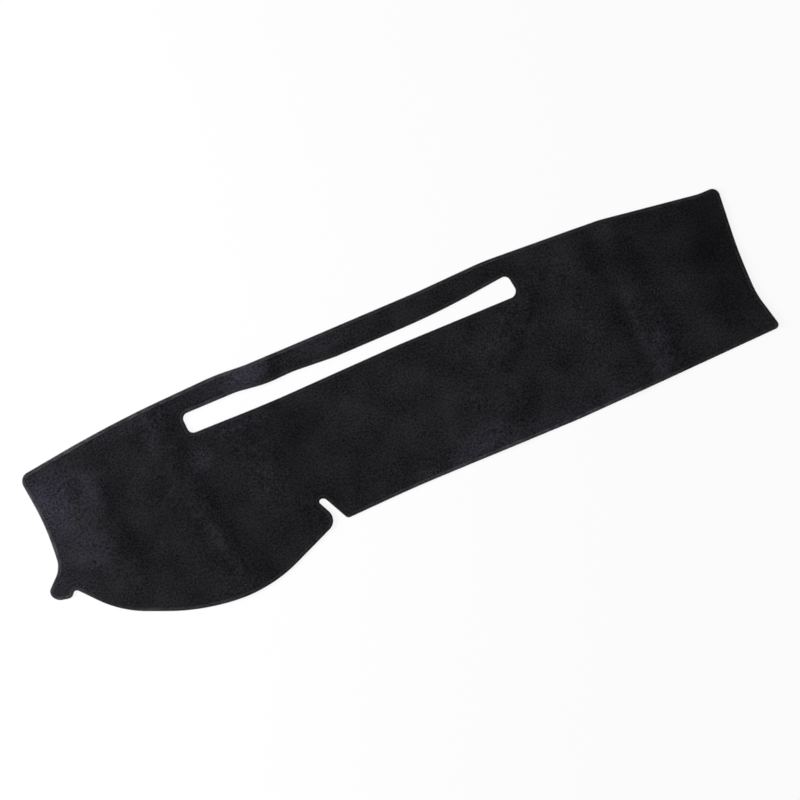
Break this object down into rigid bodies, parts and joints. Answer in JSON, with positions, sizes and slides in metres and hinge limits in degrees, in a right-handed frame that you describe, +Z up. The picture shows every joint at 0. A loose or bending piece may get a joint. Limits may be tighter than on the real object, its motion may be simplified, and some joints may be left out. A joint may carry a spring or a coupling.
{
  "type": "dashboard cover mat",
  "caption": "Flat felt mat cut to the plan of a dashboard, with a long windshield vent slot, an instrument cluster lobe and an overlocked edge.",
  "frame": {"origin": "under the middle of the mat's plan box, on the surface that it lies on", "axes": "+X along the mat towards the passenger's end, +Y towards the windshield edge, +Z up out of the nap side"},
  "size_m": [1.499, 0.4168, 0.0107],
  "materials": {
    "felt": "black needle-punched polyester felt with a short matt nap and faint grey fibres",
    "overlock_thread": "black textured polyester thread, slightly shinier than the felt, in close overlock stitches"
  },
  "bodies": {
    "root": {"felt_sheet": "felt", "edge_overlock": "overlock_thread", "slot_overlock": "overlock_thread"}
  },
  "joints": []
}
